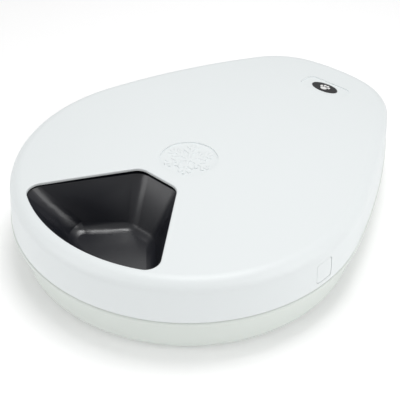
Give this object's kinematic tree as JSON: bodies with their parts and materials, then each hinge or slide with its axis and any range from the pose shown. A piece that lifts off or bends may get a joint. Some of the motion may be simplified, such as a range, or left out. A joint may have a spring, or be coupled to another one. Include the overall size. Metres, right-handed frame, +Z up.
{
  "type": "automatic pet feeder",
  "caption": "Low egg-shaped automatic pet feeder: lift-off white lid with one wedge window over a turning black tray of meal cups, geared battery drive and a control panel under the lid.",
  "frame": {"origin": "middle of the footprint, on the floor under the rubber feet", "axes": "+Z up, +Y towards the narrow control end, the feeding window towards -Y, the visible release button on +X"},
  "size_m": [0.32, 0.4039, 0.0814],
  "materials": {
    "white_plastic": "satin moulded ABS",
    "tray_black": "satin black food-safe plastic",
    "badge_black": "printed inlay",
    "badge_white": "raised white",
    "deck_grey": "moulded light grey",
    "rubber": "matt",
    "steel": "zinc plated",
    "spring_steel": "bright",
    "brass": "turned",
    "acetal": "natural acetal",
    "gel_blue": "gel pack shell",
    "cell_jacket": "plain dark jacket",
    "board_green": "solder mask",
    "lcd_grey": "reflective lcd",
    "lens_clear": "clear window",
    "panel_dark": "fine grained",
    "key_white": "satin"
  },
  "bodies": {
    "housing": {"base_shell": "white_plastic", "rubber_feet": "rubber", "housing_screws": "steel", "battery_cells": "cell_jacket", "battery_contacts": "spring_steel", "battery_springs": "spring_steel", "deck": "deck_grey", "hub_bush": "brass", "hub_seal": "rubber", "sensor_board": "board_green", "idler_axle": "steel", "drive_motor": "steel", "motor_screws": "steel", "control_panel": "panel_dark", "lcd_lens": "lens_clear", "lcd_module": "lcd_grey", "circuit_board": "board_green", "key_switches": "panel_dark", "board_screws": "steel"},
    "lid": {"lid_cover": "white_plastic", "badge_plate": "badge_black", "badge_paw": "badge_white", "latch_spring_right": "spring_steel", "latch_spring_left": "spring_steel"},
    "button_right": {"lid_button_right": "white_plastic"},
    "button_left": {"lid_button_left": "white_plastic"},
    "battery_door": {"battery_door": "white_plastic"},
    "hub": {"drive_hub": "acetal", "output_gear": "acetal", "index_magnets": "steel"},
    "tray": {"food_tray": "tray_black"},
    "idler": {"idler_gear": "acetal"},
    "pinion": {"motor_pinion": "brass", "motor_shaft": "steel"},
    "ice_right": {"ice_pack_right": "gel_blue"},
    "ice_left": {"ice_pack_left": "gel_blue"},
    "key_clock": {"key_clock": "key_white"},
    "key_up": {"key_up": "key_white"},
    "key_down": {"key_down": "key_white"},
    "key_feed": {"key_feed": "key_white"}
  },
  "joints": [
    {"name": "lid_lift", "type": "slide", "parent": "housing", "child": "lid", "axis": [0, 0, 1], "range_m": [0, 0.16]},
    {"name": "button_right_press", "type": "slide", "parent": "lid", "child": "button_right", "axis": [-1, 0, 0], "range_m": [0, 0.0022], "stiffness_N_per_m": 800, "springref_m": -0.001, "deforming": ["latch_spring_right"]},
    {"name": "button_left_press", "type": "slide", "parent": "lid", "child": "button_left", "axis": [1, 0, 0], "range_m": [0, 0.0022], "stiffness_N_per_m": 800, "springref_m": -0.001, "deforming": ["latch_spring_left"]},
    {"name": "tray_turn", "type": "hinge", "parent": "housing", "child": "hub", "pos_m": [0, -0.042, 0.05], "axis": [0, 0, 1], "continuous": true},
    {"name": "tray_lift", "type": "slide", "parent": "hub", "child": "tray", "axis": [0, 0, 1], "range_m": [0, 0.088]},
    {"name": "idler_spin", "type": "hinge", "parent": "housing", "child": "idler", "pos_m": [0, -0.0825, 0.012], "axis": [0, 0, 1], "continuous": true},
    {"name": "pinion_spin", "type": "hinge", "parent": "housing", "child": "pinion", "pos_m": [0.0206, -0.05867, 0.015], "axis": [0, 0, 1], "continuous": true},
    {"name": "ice_right_lift", "type": "slide", "parent": "housing", "child": "ice_right", "axis": [0, 0, 1], "range_m": [0, 0.04]},
    {"name": "ice_left_lift", "type": "slide", "parent": "housing", "child": "ice_left", "axis": [0, 0, 1], "range_m": [0, 0.04]},
    {"name": "battery_door_hinge", "type": "hinge", "parent": "housing", "child": "battery_door", "pos_m": [0, 0.11735, 0.0025], "axis": [-1, 0, 0], "range_deg": [0, 70]},
    {"name": "key_clock_press", "type": "slide", "parent": "housing", "child": "key_clock", "axis": [0, 0, -1], "range_m": [0, 0.0008], "stiffness_N_per_m": 600, "springref_m": -0.0008},
    {"name": "key_up_press", "type": "slide", "parent": "housing", "child": "key_up", "axis": [0, 0, -1], "range_m": [0, 0.0008], "stiffness_N_per_m": 600, "springref_m": -0.0008},
    {"name": "key_down_press", "type": "slide", "parent": "housing", "child": "key_down", "axis": [0, 0, -1], "range_m": [0, 0.0008], "stiffness_N_per_m": 600, "springref_m": -0.0008},
    {"name": "key_feed_press", "type": "slide", "parent": "housing", "child": "key_feed", "axis": [0, 0, -1], "range_m": [0, 0.0008], "stiffness_N_per_m": 600, "springref_m": -0.0008}
  ],
  "couplings": [
    {"joint": "tray_lift", "follows": "lid_lift", "ratio": 0.55},
    {"joint": "ice_right_lift", "follows": "lid_lift", "ratio": 0.25},
    {"joint": "ice_left_lift", "follows": "lid_lift", "ratio": 0.25},
    {"joint": "idler_spin", "follows": "tray_turn", "ratio": -2.8571},
    {"joint": "pinion_spin", "follows": "tray_turn", "ratio": 7.1429}
  ]
}
